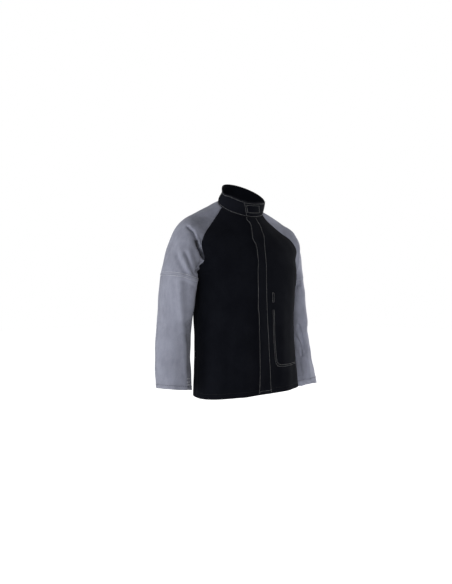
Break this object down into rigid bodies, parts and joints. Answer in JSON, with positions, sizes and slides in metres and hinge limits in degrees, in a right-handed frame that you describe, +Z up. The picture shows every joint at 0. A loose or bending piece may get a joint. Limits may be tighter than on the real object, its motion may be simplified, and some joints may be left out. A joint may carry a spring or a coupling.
{
  "type": "welding jacket",
  "caption": "Welding jacket with black body, grey raglan sleeves, stand collar with throat tab and a flap over the front closure, filled out as if worn.",
  "frame": {"origin": "middle of the neck opening, on the seam between collar and body, where the jacket sits on its wearer", "axes": "+Z up, -Y to the wearer's front, +X to the wearer's left"},
  "size_m": [0.7122, 0.2696, 0.8223],
  "materials": {
    "black_cotton": "matte",
    "grey_split_leather": "matte suede"
  },
  "bodies": {
    "root": {"front_right": "black_cotton", "front_left": "black_cotton", "back": "black_cotton", "collar": "black_cotton", "collar_tab": "black_cotton", "front_flap": "black_cotton", "pocket": "black_cotton", "sleeve_upper_right": "grey_split_leather", "sleeve_upper_left": "grey_split_leather", "sleeve_lower_right": "grey_split_leather", "sleeve_lower_left": "grey_split_leather"}
  },
  "joints": []
}
